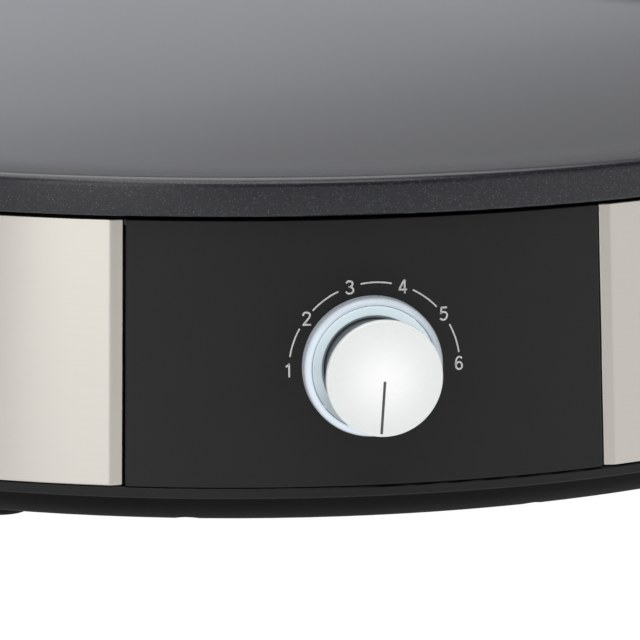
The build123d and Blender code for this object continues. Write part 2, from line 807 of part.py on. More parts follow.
def thermostat_bracket():
    """Steel plate behind the panel that carries the thermostat."""
    plate = block((*bracket_size, bracket_sheet), bracket_back)
    plate = fillet(plate.edges().filter_by(Axis.Z), 4.0)
    plate -= rod(bush_radius + 0.1, bracket_back - 1, bracket_back + 5)
    for side in (-1, 1):
        place = (side * bracket_screw_offset, 0)
        plate -= rod(small_hole, bracket_back - 1, bracket_back + 5, place)
    return knob_axis * plate


def bracket_screws():
    """Screws of the thermostat bracket."""
    places = [Pos(side * bracket_screw_offset, 0, bracket_back) for side in (-1, 1)]
    return [knob_axis * place * screw(small_screw, 8) for place in places]


def thermostat_body():
    """Capillary thermostat's case with the shaft's hole."""
    width, height, depth = thermostat_size
    case = block(thermostat_size, thermostat_front - depth)
    case = chamfer(case.edges().filter_by(Axis.Z), 3.0)
    case -= rod(shaft_radius + 0.4, shaft_back - 3, thermostat_front + 1)
    cover = block((width + 2, height + 2, 1.2), thermostat_front - 8)
    cover -= rod(shaft_radius + 0.4, shaft_back - 3, thermostat_front + 1)
    return knob_axis * (case + cover)


def thermostat_terminals():
    """Blade terminals behind the thermostat."""
    width, thickness, length = blade_size
    rear = thermostat_front - thermostat_size[2]
    return [
        knob_axis * Pos(x, y, rear - length) * Box(width, thickness, length, align=on_base)
        for x in (-11, 11)
        for y in (-8, 8)
    ]


def sensor_bulb():
    """Liquid-filled bulb that lies against the plate."""
    bulb = Rot(0, 90, 0) * Cylinder(bulb_radius, bulb_length)
    ends = bulb.edges().filter_by(GeomType.CIRCLE)
    return Pos(*bulb_place) * fillet(ends, 1.5)


def capillary_tube():
    """Thin tube from the thermostat to the bulb."""
    bulb_end = bulb_place[0] - bulb_length / 2
    hole_x, hole_y = wire_hole_place
    points = [
        (0, -thermostat_front + thermostat_size[2] + 0.1, 47),
        (0, -118, 47),
        (-14, -84, 50),
        (-34, -44, 52),
        (hole_x, hole_y - 3, 57),
        (hole_x - 5, hole_y - 9, 66),
        (hole_x - 4, hole_y - 27, 71),
        (bulb_end - 11, bulb_place[1], bulb_place[2]),
        (bulb_end - 0.1, bulb_place[1], bulb_place[2]),
    ]
    return bent_wire(points, capillary_radius)


def bulb_clip_screw_places():
    """Places of the bulb clips' screws."""
    return [(x, bulb_place[1] + side * bulb_screw_offset) for x in bulb_clip_offsets for side in (-1, 1)]


def bulb_clips():
    """Two straps that press the bulb against the plate."""
    inner = bulb_radius + 0.05
    bridge = Circle(inner + 0.8) - Circle(inner)
    bridge &= Pos(0, -inner) * Rectangle(4 * inner, 2 * inner)
    for side in (-1, 1):
        wall_middle = side * (inner + 0.4)
        wall_height = underside - bulb_place[2]
        bridge += Pos(wall_middle, wall_height / 2) * Rectangle(0.8, wall_height)
        bridge += Pos(side * (inner + 4.2), wall_height - 0.4) * Rectangle(7.6, 0.8)
    clips = []
    for x in bulb_clip_offsets:
        section = Plane(origin=(x + 4, bulb_place[1], bulb_place[2]), x_dir=(0, 1, 0), z_dir=(1, 0, 0))
        clip = extrude(section * bridge, amount=-8)
        for side in (-1, 1):
            hole_place = (x, bulb_place[1] + side * bulb_screw_offset)
            clip -= rod(small_hole, underside - 3, underside + 1, hole_place)
        clips.append(clip)
    return clips


def bulb_clip_screws():
    """Screws of the bulb clips."""
    return [Pos(x, y, underside - 0.8) * screw(small_screw, 4.5) for x, y in bulb_clip_screw_places()]


def limiter_screw_places():
    """Places of the limiter clamp's screws."""
    return [(limiter_place[0] + side * 13, limiter_place[1]) for side in (-1, 1)]


def limiter():
    """Disc cut-out that opens if the plate overheats, with two blades."""
    top = underside - 0.05
    body = rod(limiter_radius, top - 2, top, limiter_place)
    body += rod(limiter_radius - 1.2, top - limiter_height, top, limiter_place)
    for side in (-1, 1):
        place = (limiter_place[0] + side * 4, limiter_place[1])
        body += block((blade_size[1], 4.8, 4.5), top - limiter_height - 4, place)
    return body


def limiter_clamp():
    """Sheet clamp that holds the limiter's flange."""
    level = underside - 2.95
    clamp = block((34, 10, 0.9), level, limiter_place)
    clamp += rod(limiter_radius + 1.5, level, level + 0.9, limiter_place)
    clamp -= rod(limiter_radius - 1.1, level - 1, level + 2, limiter_place)
    for place in limiter_screw_places():
        clamp += tube(2.4, small_hole, level + 0.9, underside, place)
        clamp -= rod(small_hole, level - 1, underside + 1, place)
    return clamp


def limiter_screws():
    """Screws of the limiter clamp."""
    return [Pos(x, y, underside - 2.95) * screw(small_screw, 6.5) for x, y in limiter_screw_places()]


def block_mount_places():
    """Places of the terminal block's mounting screws, between its poles."""
    return [(block_place[0] + side * block_size[0] / 6, block_place[1]) for side in (-1, 1)]


def terminal_block():
    """Three-pole block where the mains leads meet the gland's conductors."""
    width, depth, height = block_size
    x, y, z = block_place
    body = block((width, depth * 0.6, height), z, (x, y)) + block((width, depth, height * 0.45), z, (x, y))
    for pole in (-1, 0, 1):
        centre = x + pole * width / 3
        body -= Pos(centre, y, z + height * 0.25) * Rot(90, 0, 0) * Cylinder(2.0, depth + 2)
        body -= rod(2.4, z + height - 5, z + height + 1, (centre, y))
    for place in block_mount_places():
        body -= rod(small_hole, z - 1, z + height + 1, place)
        body -= rod(small_screw[1] + 0.2, z + height * 0.45, z + height + 1, place)
    return body


def block_screws():
    """Clamp screws in the terminal block's poles and the two screws that hold it down."""
    x, y, z = block_place
    clamp_top = z + block_size[2] - 1.5
    mount_top = z + block_size[2] * 0.45
    clamp_screw = Rot(180, 0, 0) * screw((1.5, 2.2, 1.2), 3)
    mount_screw = Rot(180, 0, 0) * screw(small_screw, mount_top - 6)
    clamps = [Pos(x + pole * block_size[0] / 3, y, clamp_top) * clamp_screw for pole in (-1, 0, 1)]
    return clamps + [Pos(*place, mount_top) * mount_screw for place in block_mount_places()]


def block_wire_end(pole, side):
    """Mouth of a terminal block's pole on its front (-1) or rear (1) side."""
    x, y, z = block_place
    return (x + pole * block_size[0] / 3, y + side * block_size[1] / 2, z + block_size[2] * 0.25)


def live_lead():
    """Lead from the terminal block to the thermostat."""
    start = block_wire_end(-1, -1)
    blade_tip = -(thermostat_front - thermostat_size[2] - blade_size[2])
    points = [
        start,
        (start[0] - 3, 96, 14),
        (-38, 52, 17),
        (-46, 0, 17),
        (-40, -52, 18),
        (-20, -90, 24),
        (-11, blade_tip + 14, knob_height - 8),
        (-11, blade_tip + 0.1, knob_height - 8),
    ]
    return bent_wire(points, lead_radius)


def neutral_lead():
    """Lead from the terminal block to the element's inner leg."""
    start = block_wire_end(1, -1)
    foot = leg_feet()[1]
    points = [
        start,
        (start[0] + 2, 94, 14),
        (30, 50, 18),
        (38, 4, 20),
        (38, -36, 21),
        (foot.X, foot.Y, 22),
        (foot.X, foot.Y, leg_bottom - 16.1),
    ]
    return bent_wire(points, lead_radius)


def heater_lead():
    """Lead from the thermostat to the element's outer leg."""
    foot = leg_feet()[0]
    blade_tip = -(thermostat_front - thermostat_size[2] - blade_size[2])
    points = [
        (11, blade_tip + 0.1, knob_height - 8),
        (11, blade_tip + 12, knob_height - 8),
        (24, blade_tip + 22, 26),
        (42, blade_tip + 18, 23),
        (foot.X, foot.Y, 22),
        (foot.X, foot.Y, leg_bottom - 16.1),
    ]
    return bent_wire(points, lead_radius)


def earth_lead():
    """Lead from the terminal block to the earth lug under the ring."""
    start = block_wire_end(0, -1)
    lug = polar(earth_circle, earth_azimuth, ring_top - ring_sheet - 4.6)
    points = [
        start,
        (start[0] + 2, 104, 15),
        (22, 92, 24),
        (44, 104, 36),
        (lug.X, lug.Y, 46),
        (lug.X, lug.Y, lug.Z),
    ]
    return bent_wire(points, lead_radius)


def earth_lug():
    """Ring terminal and screw that earth the steel ring and the plate."""
    top = ring_top - ring_sheet
    lug = rod(3.6, top - 0.9, top) + rod(1.9, top - 4.5, top - 0.9)
    return Rot(0, 0, earth_azimuth) * Pos(0, -earth_circle, 0) * lug


def gland_body():
    """Threaded gland body with a hexagon against the rear panel's seat."""
    thread = rod(gland_thread_radius, gland_back, gland_seat)
    hexagon = Pos(0, 0, gland_seat) * extrude(RegularPolygon(gland_hex_radius, 6), amount=gland_hex_length)
    cage = rod(gland_thread_radius, gland_seat, gland_seat + gland_hex_length + 5)
    return gland_axis * (thread + hexagon + cage - rod(5.6, gland_back - 1, gland_front))


def gland_nut():
    """Domed nut that squeezes the seal."""
    low = gland_seat + gland_hex_length + 0.1
    dome = rod(gland_nut_radius, low, gland_front)
    dome = fillet(circles(dome, gland_nut_radius, gland_front), 2.5)
    for turn in range(0, 360, 60):
        dome -= Rot(0, 0, turn) * Pos(gland_nut_radius + 0.9, 0, low) * Cylinder(1.6, 5.5, align=on_base)
    thread_room = rod(gland_thread_radius + 0.05, low - 1, gland_seat + gland_hex_length + 5.1)
    return gland_axis * (dome - thread_room - rod(4.6, low, gland_front + 1))


def gland_seal():
    """Rubber sleeve that grips the cord."""
    return gland_axis * tube(5.5, cord_bore_radius, gland_seat - 4, gland_seat + gland_hex_length + 5)


def gland_locknut():
    """Thin nut inside the rear panel."""
    nut = extrude(RegularPolygon(11.0, 6) - Circle(gland_thread_radius + 0.05), amount=3.0)
    return gland_axis * Pos(0, 0, wall_radius(gland_height) - panel_thickness - 4.1) * nut


def build():
    """Make every node of the crepe maker and write its file."""
    os.makedirs("parts", exist_ok=True)
    band = side_band()
    write("side_band_right", [Rot(0, 0, 90) * band])
    write("side_band_left", [Rot(0, 0, -90) * band])
    nodes = {
        "griddle_plate": griddle_plate,
        "heating_element": lambda: element_tube(element_radius),
        "element_clips": element_clips,
        "element_clip_screws": element_clip_screws,
        "element_insulators": element_insulators,
        "element_terminals": element_terminals,
        "heat_reflector": heat_reflector,
        "reflector_spacers": reflector_spacers,
        "reflector_screws": reflector_screws,
        "upper_ring": upper_ring,
        "plate_washers": plate_washers,
        "plate_screws": plate_screws,
        "support_posts": support_posts,
        "lower_post_screws": lower_post_screws,
        "upper_post_screws": upper_post_screws,
        "front_panel": front_panel,
        "rear_panel": rear_panel,
        "panel_screws": panel_screws,
        "base_pan": base_pan,
        "rubber_feet": rubber_feet,
        "light_ring": light_ring,
        "ring_bezel": ring_bezel,
        "led_board": led_board,
        "leds": leds,
        "board_screws": board_screws,
        "knob_body": knob_body,
        "knob_cap": knob_cap,
        "knob_pointer": knob_pointer,
        "knob_clip": knob_clip,
        "thermostat_shaft": thermostat_shaft,
        "thermostat_bush": thermostat_bush,
        "bush_nut": bush_nut,
        "thermostat_bracket": thermostat_bracket,
        "bracket_screws": bracket_screws,
        "thermostat_body": thermostat_body,
        "thermostat_terminals": thermostat_terminals,
        "sensor_bulb": sensor_bulb,
        "capillary_tube": capillary_tube,
        "bulb_clips": bulb_clips,
        "bulb_clip_screws": bulb_clip_screws,
        "limiter": limiter,
        "limiter_clamp": limiter_clamp,
        "limiter_screws": limiter_screws,
        "terminal_block": terminal_block,
        "block_screws": block_screws,
        "live_lead": live_lead,
        "neutral_lead": neutral_lead,
        "heater_lead": heater_lead,
        "earth_lead": earth_lead,
        "earth_lug": earth_lug,
        "gland_body": gland_body,
        "gland_nut": gland_nut,
        "gland_seal": gland_seal,
        "gland_locknut": gland_locknut,
    }
    for name, make in nodes.items():
        made = make()
        write(name, made if isinstance(made, list) else [made])


build()
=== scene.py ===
import math

import bpy
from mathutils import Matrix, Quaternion, Vector


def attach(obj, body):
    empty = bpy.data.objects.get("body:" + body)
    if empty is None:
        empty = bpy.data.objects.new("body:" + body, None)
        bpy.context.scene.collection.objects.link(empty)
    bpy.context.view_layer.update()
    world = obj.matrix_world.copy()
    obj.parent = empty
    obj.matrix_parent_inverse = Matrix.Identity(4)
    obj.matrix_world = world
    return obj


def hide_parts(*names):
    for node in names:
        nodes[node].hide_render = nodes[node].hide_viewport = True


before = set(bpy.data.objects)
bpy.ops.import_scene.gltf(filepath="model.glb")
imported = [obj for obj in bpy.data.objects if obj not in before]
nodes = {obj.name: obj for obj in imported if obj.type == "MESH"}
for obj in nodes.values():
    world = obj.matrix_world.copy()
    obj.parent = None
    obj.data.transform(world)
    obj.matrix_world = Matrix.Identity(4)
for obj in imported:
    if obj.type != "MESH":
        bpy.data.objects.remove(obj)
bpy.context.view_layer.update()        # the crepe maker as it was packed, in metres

bpy.ops.object.select_all(action="DESELECT")

# values that several finishes share
knobAxis = {"x": 0.0, "z": 0.03905}        # the knob turns about a line through here, front to back
bandRadius = 0.173        # middle radius of the steel and plastic wall
patternRange = (0.3, 0.7)        # nearly all of a noise pattern lies between these

print("stage: frame loaded,", len(nodes), "CAD pieces")


def screen(red, green, blue):        # a colour as picked on a screen, 0 to 255
    def toLight(level):
        part = level / 255
        return part / 12.92 if part <= 0.04045 else ((part + 0.055) / 1.055) ** 2.4
    return (toLight(red), toLight(green), toLight(blue), 1.0)


def plug(tree, socket, value):        # a wire if the value comes from a node, else a plain setting
    if isinstance(value, bpy.types.NodeSocket):
        tree.links.new(value, socket)
    else:
        socket.default_value = value


def addNode(tree, kind, inputs, **settings):
    made = tree.nodes.new("ShaderNode" + kind)
    for name, value in settings.items():
        setattr(made, name, value)
    for socket, value in inputs.items():
        plug(tree, made.inputs[socket], value)
    return made


def newFinish(name):
    material = bpy.data.materials.new(name)
    material.use_nodes = True
    tree = material.node_tree
    shader = tree.nodes["Principled BSDF"]
    return material, tree, shader


def setShader(tree, shader, **inputs):        # Base_Color stands for the socket "Base Color"
    for name, value in inputs.items():
        plug(tree, shader.inputs[name.replace("_", " ")], value)


def here(tree):
    return addNode(tree, "TexCoord", {}).outputs["Object"]


def maths(tree, operation, first, second=0.0):
    return addNode(tree, "Math", {0: first, 1: second}, operation=operation).outputs[0]


def times(tree, first, second):
    return maths(tree, "MULTIPLY", first, second)


def stretch(tree, value, low, high, newLow=0.0, newHigh=1.0, kind="SMOOTHSTEP"):
    inputs = {0: value, 1: low, 2: high, 3: newLow, 4: newHigh}
    return addNode(tree, "MapRange", inputs, interpolation_type=kind).outputs[0]


def spread(tree, pattern, newLow=0.0, newHigh=1.0):        # a noise pattern over a range of its own
    return stretch(tree, pattern, patternRange[0], patternRange[1], newLow, newHigh)


def noise(tree, where, scale, detail=3.0, rough=0.5):
    inputs = {"Vector": where, "Scale": scale, "Detail": detail, "Roughness": rough}
    return addNode(tree, "TexNoise", inputs).outputs[0]


def cellPattern(tree, where, scale):        # how far from a cell's middle, and a random colour for each cell
    cells = addNode(tree, "TexVoronoi", {"Vector": where, "Scale": scale})
    return cells.outputs["Distance"], axes(tree, cells.outputs["Color"])


def blendColours(tree, amount, first, second):
    return addNode(tree, "Mix", {0: amount, 6: first, 7: second}, data_type="RGBA").outputs[2]


def bump(tree, height, strength, depth):
    return addNode(tree, "Bump", {"Height": height, "Strength": strength, "Distance": depth}).outputs[0]


def axes(tree, where):
    return addNode(tree, "SeparateXYZ", {0: where}).outputs


def fromCentre(tree, across, along, centreAcross=0.0, centreAlong=0.0):        # distance from a line
    sideA = maths(tree, "SUBTRACT", across, centreAcross)
    sideB = maths(tree, "SUBTRACT", along, centreAlong)
    squares = maths(tree, "ADD", maths(tree, "POWER", sideA, 2.0), maths(tree, "POWER", sideB, 2.0))
    return maths(tree, "SQRT", squares)


def fromKnobAxis(tree, side):
    return fromCentre(tree, side[0], side[2], knobAxis["x"], knobAxis["z"])


# non-stick coating of the griddle: smooth on top, mottled with metal flake on the rim
plateLook = {
    "body": screen(14, 17, 28),
    "bodyDark": screen(0, 0, 2),
    "mottleScale": 1900.0,        # dark and light grains per metre
    "mottleLow": 0.36,
    "mottleHigh": 0.64,
    "flake": screen(98, 103, 114),
    "flakeScale": 2600.0,        # cells per metre
    "flakeShare": 0.55,        # cells above this have a flake
    "flakeStrength": 0.42,
    "flakeEdge": 0.5,        # a flake fades between these, in cells from its middle
    "flakeCore": 0.2,
    "flakeFadeLow": 0.0812,        # the flake fades out between these two heights
    "flakeFadeHigh": 0.0820,
    "flakeOnTop": 0.12,
    "roughTop": 0.14,
    "roughRim": 0.30,
    "smoothInside": 0.150,        # within this radius the top is worn to its smoothest
    "roughOutside": 0.1745,
    "wearScale": 9.0,
    "wear": 0.006,
    "gritFrom": 0.173,        # the coating gets grittier from here outwards
    "gritFull": 0.1748,
    "gritTop": 0.02,
    "gritRim": 0.8,
    "gritScale": 1500.0,
    "gritDepth": 0.00003,
}


def plateCoating():
    look = plateLook
    material, tree, shader = newFinish("griddleCoating")
    where = here(tree)
    side = axes(tree, where)
    reach = fromCentre(tree, side[0], side[1])
    mottle = noise(tree, where, look["mottleScale"], 2.0, 0.6)
    body = blendColours(tree, stretch(tree, mottle, look["mottleLow"], look["mottleHigh"]),
                        look["bodyDark"], look["body"])
    distance, pick = cellPattern(tree, where, look["flakeScale"])
    shine = times(tree, stretch(tree, pick[0], look["flakeShare"], 1.0, 0.0, look["flakeStrength"]),
                  stretch(tree, distance, look["flakeEdge"], look["flakeCore"]))
    aboveFlake = stretch(tree, side[2], look["flakeFadeLow"], look["flakeFadeHigh"])
    flake = times(tree, shine, stretch(tree, aboveFlake, 0.0, 1.0, 1.0, look["flakeOnTop"]))
    rough = stretch(tree, reach, look["smoothInside"], look["roughOutside"],
                    look["roughTop"], look["roughRim"])
    wear = spread(tree, noise(tree, where, look["wearScale"], 2.0, 0.5), -look["wear"], look["wear"])
    grit = noise(tree, where, look["gritScale"], 3.0, 0.6)
    gritty = stretch(tree, reach, look["gritFrom"], look["gritFull"], look["gritTop"], look["gritRim"])
    setShader(tree, shader, Base_Color=blendColours(tree, flake, body, look["flake"]),
              Roughness=maths(tree, "ADD", rough, wear), Normal=bump(tree, grit, gritty, look["gritDepth"]))
    return material


# fine satin steel of the two bands, brushed round the drum
steelLook = {
    "pale": screen(193, 189, 182),
    "deep": screen(189, 184, 178),
    "grainLines": 11000.0,        # grain across, per metre
    "grainLength": 70.0,        # grain along the wall, per metre
    "grain": 0.03,
    "grainDepth": 0.00001,
    "anisotropy": 0.4,
    "rough": 0.30,
    "roughSpread": 0.02,
}


def aroundWall(tree, side, alongScale, acrossScale):        # the wall unrolled: round it, and up it
    turned = maths(tree, "ARCTAN2", side[0], times(tree, side[1], -1.0))
    along = times(tree, turned, bandRadius * alongScale)
    across = times(tree, side[2], acrossScale)
    return addNode(tree, "CombineXYZ", {0: along, 1: across}).outputs[0]


def brushedSteel():
    look = steelLook
    material, tree, shader = newFinish("brushedSteel")
    unrolled = aroundWall(tree, axes(tree, here(tree)), look["grainLength"], look["grainLines"])
    grain = noise(tree, unrolled, 1.0, 3.0, 0.6)
    rough = spread(tree, grain, look["rough"] - look["roughSpread"], look["rough"] + look["roughSpread"])
    upward = addNode(tree, "CombineXYZ", {2: 1.0}).outputs[0]        # the shine spreads across the brushing
    setShader(tree, shader, Base_Color=blendColours(tree, spread(tree, grain), look["deep"], look["pale"]),
              Metallic=1.0, Roughness=rough, Anisotropic=look["anisotropy"], Tangent=upward,
              Normal=bump(tree, grain, look["grain"], look["grainDepth"]))
    return material


# spark-eroded mould texture with faint flow marks; a plastic below may have its own value for any of these
mouldTexture = {
    "flowScale": 35.0,
    "textureScale": 2600.0,
    "texture": 0.35,
    "textureDepth": 0.00003,
    "gloss": 0.5,
}
panelBlack = {"dark": screen(12, 12, 13), "light": screen(16, 16, 17), "rough": 0.5, "gloss": 0.31}
footRubber = {"dark": screen(18, 18, 18), "light": screen(26, 26, 26), "rough": 0.75, "gloss": 0.2,
              "textureScale": 1400.0}
knobGrey = {"dark": screen(66, 70, 75), "light": screen(74, 78, 83), "rough": 0.42, "gloss": 0.3}
pointerDark = {"dark": screen(58, 58, 62), "light": screen(66, 66, 70), "rough": 0.5, "texture": 0.1}
thermostatCream = {"dark": screen(206, 200, 184), "light": screen(222, 217, 202), "rough": 0.45}
glandNylon = {"dark": screen(22, 22, 24), "light": screen(32, 32, 34), "rough": 0.48}
leadBrown = {"dark": screen(78, 46, 28), "light": screen(96, 58, 36), "rough": 0.5, "texture": 0.2}
leadBlue = {"dark": screen(28, 62, 128), "light": screen(38, 78, 150), "rough": 0.5, "texture": 0.2}


def mouldedPlastic(name, plastic):
    look = {**mouldTexture, **plastic}
    material, tree, shader = newFinish(name)
    where = here(tree)
    flow = noise(tree, where, look["flowScale"], 3.0, 0.55)
    sparks = noise(tree, where, look["textureScale"], 3.0, 0.6)
    setShader(tree, shader, Base_Color=blendColours(tree, spread(tree, flow), look["dark"], look["light"]),
              Roughness=spread(tree, sparks, look["rough"] - 0.04, look["rough"] + 0.05),
              Specular_IOR_Level=look["gloss"],
              Normal=bump(tree, sparks, look["texture"], look["textureDepth"]))
    return material


# base pan: satin lip like the panels, then a matt mould texture under it
basePanLook = {
    "dark": screen(10, 10, 11),
    "light": screen(14, 14, 15),
    "flowScale": 30.0,
    "textureScale": 2400.0,
    "texture": 0.3,
    "textureDepth": 0.00003,
    "lipFrom": 0.0094,        # the satin starts at this height and is full at the next
    "lipFull": 0.0100,
    "lipGloss": 0.3,
    "underGloss": 0.05,
    "lipRough": 0.5,
    "underRough": 0.7,
    "roughSpread": 0.04,
}


def basePanBlack():
    look = basePanLook
    material, tree, shader = newFinish("basePanBlack")
    where = here(tree)
    lip = stretch(tree, axes(tree, where)[2], look["lipFrom"], look["lipFull"])
    flow = noise(tree, where, look["flowScale"], 3.0, 0.55)
    sparks = noise(tree, where, look["textureScale"], 3.0, 0.6)
    rough = stretch(tree, lip, 0.0, 1.0, look["underRough"], look["lipRough"])
    grainy = spread(tree, sparks, -look["roughSpread"], look["roughSpread"])
    setShader(tree, shader, Base_Color=blendColours(tree, spread(tree, flow), look["dark"], look["light"]),
              Roughness=maths(tree, "ADD", rough, grainy),
              Specular_IOR_Level=stretch(tree, lip, 0.0, 1.0, look["underGloss"], look["lipGloss"]),
              Normal=bump(tree, sparks, look["texture"], look["textureDepth"]))
    return material


# milky ring round the knob, lit from behind; its glow carries painted shade: darker at its outer edge and at
# its inner edge by the groove, and dimmed to the right and towards the top
ringLook = {
    "body": screen(134, 139, 146),
    "bodyClear": screen(140, 145, 151),
    "glow": [        # distance from the knob's axis, colour of the light there; the dark first and last stops are painted shade
        (0.01408, screen(50, 56, 64)),
        (0.01426, screen(192, 203, 214)),
        (0.0148, screen(186, 197, 207)),
        (0.01515, screen(180, 190, 198)),
        (0.01545, screen(176, 184, 191)),
        (0.01572, screen(112, 117, 122)),
    ],
    "shadeRightFrom": 0.006,        # painted shade: how far to the right of the knob's axis the glow begins to be dimmed
    "shadeRightFull": 0.016,
    "shadeRightTo": 0.45,
    "shadeTopFrom": 0.045,        # and how high up painted shade dims it a little
    "shadeTopFull": 0.053,
    "shadeTopTo": 0.8,
    "milkScale": 700.0,
    "milk": 0.08,
    "milkDepth": 0.00002,
    "smoothest": 0.26,
    "roughest": 0.34,
}


def glowRampWithShade(tree, reach, glow):
    inner, outer = glow[0][0], glow[-1][0]
    ramp = addNode(tree, "ValToRGB", {0: stretch(tree, reach, inner, outer, 0.0, 1.0, "LINEAR")})
    stops = ramp.color_ramp.elements
    stops[0].color = glow[0][1]
    stops[1].color = glow[-1][1]
    for distance, colour in glow[1:-1]:
        stops.new((distance - inner) / (outer - inner)).color = colour
    return ramp.outputs[0]


def ringGlow():
    look = ringLook
    material, tree, shader = newFinish("litRing")
    where = here(tree)
    side = axes(tree, where)
    milk = noise(tree, where, look["milkScale"], 3.0, 0.5)
    # painted shade: the glow is dimmed to the right of the knob's axis and towards the top
    fall = times(tree, stretch(tree, side[0], look["shadeRightFrom"], look["shadeRightFull"], 1.0, look["shadeRightTo"]),
                 stretch(tree, side[2], look["shadeTopFrom"], look["shadeTopFull"], 1.0, look["shadeTopTo"]))
    body = blendColours(tree, spread(tree, milk), look["body"], look["bodyClear"])
    setShader(tree, shader, Base_Color=body,
              Roughness=spread(tree, milk, look["smoothest"], look["roughest"]),
              Emission_Color=glowRampWithShade(tree, fromKnobAxis(tree, side), look["glow"]), Emission_Strength=fall,
              Normal=bump(tree, milk, look["milk"], look["milkDepth"]))
    return material


# pale bezel inside the ring; its glow is painted light, the ring's light spilling on to it, most at the top,
# and its colour has painted shade at its inner edge and low down
bezelLook = {
    "dark": screen(212, 225, 232),
    "light": screen(219, 232, 238),
    "mouthPaintedShade": screen(140, 145, 152),        # painted shade on its inner edge
    "mouthReach": 0.01172,        # distance from the knob's axis where the inner edge ends
    "faceReach": 0.01208,
    "low": 0.029,        # heights of the darkest, middle and brightest parts: painted shade low down, painted light high up
    "middle": 0.037,
    "high": 0.050,
    "lowPaintedShade": 0.45,
    # painted light: colour of the ring's light spilling on to the bezel
    "glow": screen(104, 114, 117),
    "paintedLightMouth": 0.42,
    "paintedLightMiddle": 0.6,
    "paintedLightHigh": 1.7,
    "flowScale": 35.0,
    "textureScale": 2600.0,
    "texture": 0.15,
    "textureDepth": 0.00003,
    "smoothest": 0.36,
    "roughest": 0.45,
}


def bezelWhite():
    look = bezelLook
    material, tree, shader = newFinish("bezelWhite")
    where = here(tree)
    side = axes(tree, where)
    # painted shade: darker on the inner edge and low down under the cap
    face = stretch(tree, fromKnobAxis(tree, side), look["mouthReach"], look["faceReach"])
    low = stretch(tree, side[2], look["low"], look["middle"], look["lowPaintedShade"], 1.0)
    shade = times(tree, face, low)
    flow = noise(tree, where, look["flowScale"], 3.0, 0.55)
    plastic = blendColours(tree, spread(tree, flow), look["dark"], look["light"])
    # painted light: the spill glows more towards the top, with a floor on the inner edge
    rise = stretch(tree, side[2], look["middle"], look["high"], look["paintedLightMiddle"], look["paintedLightHigh"])
    lit = maths(tree, "MAXIMUM", times(tree, shade, rise), look["paintedLightMouth"])
    sparks = noise(tree, where, look["textureScale"], 3.0, 0.6)
    setShader(tree, shader, Base_Color=blendColours(tree, shade, look["mouthPaintedShade"], plastic),
              Roughness=spread(tree, sparks, look["smoothest"], look["roughest"]),
              Emission_Color=look["glow"], Emission_Strength=lit,
              Normal=bump(tree, sparks, look["texture"], look["textureDepth"]))
    return material


# satin white lacquer over the finely turned face of the knob, with painted shade darkening it towards its rim
capLook = {
    "middle": screen(246, 246, 246),
    # painted shade: the colour towards the rim of the face
    "edge": screen(223, 226, 225),
    "radius": 0.01306,
    "cloudScale": 900.0,
    "cloud": 0.04,
    "turnLines": 5200.0,        # fine turned rings on the face, per metre
    "turned": 0.06,
    "turnedDepth": 0.00001,
    "smoothest": 0.30,
    "roughest": 0.38,
}


def capWhite():
    look = capLook
    material, tree, shader = newFinish("capWhite")
    where = here(tree)
    reach = fromKnobAxis(tree, axes(tree, where))
    cloud = spread(tree, noise(tree, where, look["cloudScale"], 3.0, 0.5), -look["cloud"], look["cloud"])
    # painted shade grows towards the rim, with a little cloudy tone on top
    paintedShadeAndCloud = maths(tree, "ADD", stretch(tree, reach, 0.0, look["radius"]), cloud)
    outward = addNode(tree, "CombineXYZ", {0: times(tree, reach, look["turnLines"])}).outputs[0]
    rings = noise(tree, outward, 1.0, 2.0, 0.5)
    setShader(tree, shader, Base_Color=blendColours(tree, paintedShadeAndCloud, look["middle"], look["edge"]),
              Roughness=spread(tree, rings, look["smoothest"], look["roughest"]),
              Normal=bump(tree, rings, look["turned"], look["turnedDepth"]))
    return material


# rolled or plated metal, cloudy and finely scratched; a metal below may have its own value for any of these
metalGrain = {
    "cloudScale": 120.0,
    "drawn": (1.0, 1.0, 6.0),        # the scratches are this much finer up and down
    "scratchScale": 1500.0,
    "scratch": 0.15,
    "scratchDepth": 0.00001,
}
zincSteel = {"dark": screen(168, 172, 176), "light": screen(196, 199, 202), "rough": 0.36}
springSteel = {"dark": screen(150, 150, 150), "light": screen(182, 181, 178), "rough": 0.28}
elementSteel = {"dark": screen(104, 96, 90), "light": screen(138, 130, 122), "rough": 0.46,
                "cloudScale": 60.0}
brass = {"dark": screen(176, 140, 78), "light": screen(206, 172, 104), "rough": 0.3}
copper = {"dark": screen(164, 96, 66), "light": screen(198, 126, 90), "rough": 0.3}


def bareMetal(name, metal):
    look = {**metalGrain, **metal}
    material, tree, shader = newFinish(name)
    where = here(tree)
    cloud = noise(tree, where, look["cloudScale"], 4.0, 0.6)
    drawn = addNode(tree, "Mapping", {"Vector": where, "Scale": look["drawn"]}).outputs[0]
    scratch = noise(tree, drawn, look["scratchScale"], 4.0, 0.65)
    setShader(tree, shader, Base_Color=blendColours(tree, spread(tree, cloud), look["dark"], look["light"]),
              Metallic=1.0, Roughness=spread(tree, scratch, look["rough"] - 0.07, look["rough"] + 0.09),
              Normal=bump(tree, scratch, look["scratch"], look["scratchDepth"]))
    return material


# crystals of the hot-dip coating on the inner sheets
aluminisedLook = {
    "dark": screen(176, 178, 180),
    "light": screen(208, 210, 212),
    "crystalScale": 160.0,
    "smoothest": 0.28,
    "roughest": 0.42,
    "grainScale": 1800.0,
    "grain": 0.12,
    "grainDepth": 0.00001,
}


def aluminisedSheet():
    look = aluminisedLook
    material, tree, shader = newFinish("aluminisedSheet")
    where = here(tree)
    tone = cellPattern(tree, where, look["crystalScale"])[1]
    grain = noise(tree, where, look["grainScale"], 3.0, 0.6)
    setShader(tree, shader, Base_Color=blendColours(tree, tone[0], look["dark"], look["light"]), Metallic=1.0,
              Roughness=stretch(tree, tone[1], 0.0, 1.0, look["smoothest"], look["roughest"]),
              Normal=bump(tree, grain, look["grain"], look["grainDepth"]))
    return material


